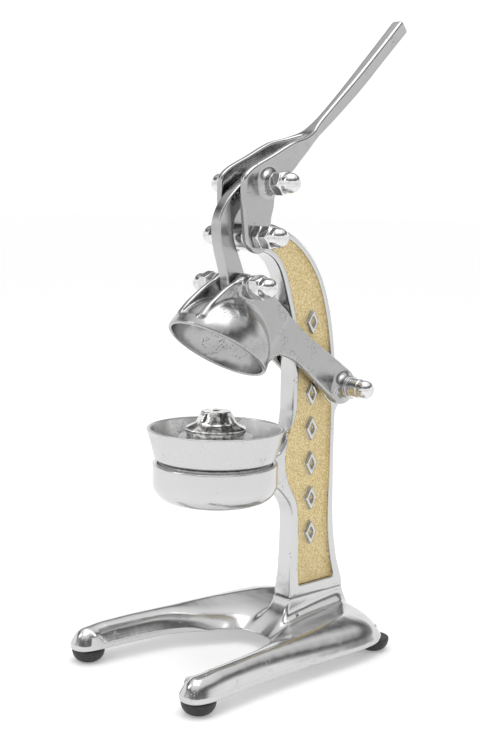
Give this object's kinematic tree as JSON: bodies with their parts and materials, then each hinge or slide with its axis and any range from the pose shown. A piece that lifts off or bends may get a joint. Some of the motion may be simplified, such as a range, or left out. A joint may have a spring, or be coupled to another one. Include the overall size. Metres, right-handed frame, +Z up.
{
  "type": "citrus press juicer",
  "caption": "Hand lever citrus press: polished cast horseshoe base and arched column, funnel bowl, drop-in strainer cup with faceted cone, domed press head, link and long handle.",
  "frame": {"origin": "on the floor under the middle of the part's length, on its middle plane", "axes": "+Z up, -Y the front where the user stands, +X the user's right"},
  "size_m": [0.1618, 0.2942, 0.5204],
  "materials": {
    "cast_aluminium": "hand polished casting",
    "cup_aluminium": "bright polished casting",
    "gold_paint": "sparkling gold paint in the column's side panels",
    "plated": "bright plated",
    "steel": "plain steel",
    "rubber": "satin black"
  },
  "bodies": {
    "frame": {"arm_pivot_nut_left": "plated", "arm_pivot_nut_right": "plated", "arm_pivot_stud": "steel", "arm_spacer_left": "steel", "arm_spacer_right": "steel", "arm_washer_left": "plated", "arm_washer_right": "plated", "base_casting": "cast_aluminium", "column_bolt_front": "steel", "column_bolt_rear": "steel", "column_bolt_washer_front": "steel", "column_bolt_washer_rear": "steel", "column_casting": "cast_aluminium", "foot_front_left": "rubber", "foot_front_right": "rubber", "foot_rear_left": "rubber", "foot_rear_right": "rubber", "foot_stud_front_left": "steel", "foot_stud_front_right": "steel", "foot_stud_rear_left": "steel", "foot_stud_rear_right": "steel", "handle_lock_nut_left": "plated", "handle_lock_nut_right": "plated", "handle_pivot_nut_left": "plated", "handle_pivot_nut_right": "plated", "handle_pivot_stud": "steel", "handle_pivot_washer_left": "steel", "handle_pivot_washer_right": "steel"},
    "handle": {"handle": "cast_aluminium", "link_top_stud": "steel", "link_top_nut_left": "plated", "link_top_nut_right": "plated"},
    "link": {"link": "cast_aluminium"},
    "press_head": {"press_head": "cast_aluminium", "link_bottom_stud": "steel", "link_bottom_nut_left": "plated", "link_bottom_nut_right": "plated"},
    "strainer_cup": {"strainer_cup": "cup_aluminium"}
  },
  "joints": [
    {"name": "handle_hinge", "type": "hinge", "parent": "frame", "child": "handle", "pos_m": [0, -0.03383, 0.3382], "axis": [1, 0, 0], "range_deg": [0, 152.03]},
    {"name": "link_hinge", "type": "hinge", "parent": "handle", "child": "link", "pos_m": [0, -0.02423, 0.3793], "axis": [1, 0, 0], "range_deg": [-146.39, 0]},
    {"name": "press_head_hinge", "type": "hinge", "parent": "frame", "child": "press_head", "pos_m": [0, 0.06637, 0.2137], "axis": [1, 0, 0], "range_deg": [0, 33.2]},
    {"name": "cup_turn", "type": "hinge", "parent": "frame", "child": "strainer_cup", "pos_m": [0, -0.06063, 0.1632], "axis": [0, 0, 1], "continuous": true}
  ],
  "couplings": [
    {"joint": "press_head_hinge", "follows": "handle_hinge", "ratio": 0.21838},
    {"joint": "link_hinge", "follows": "handle_hinge", "ratio": -0.96292}
  ]
}
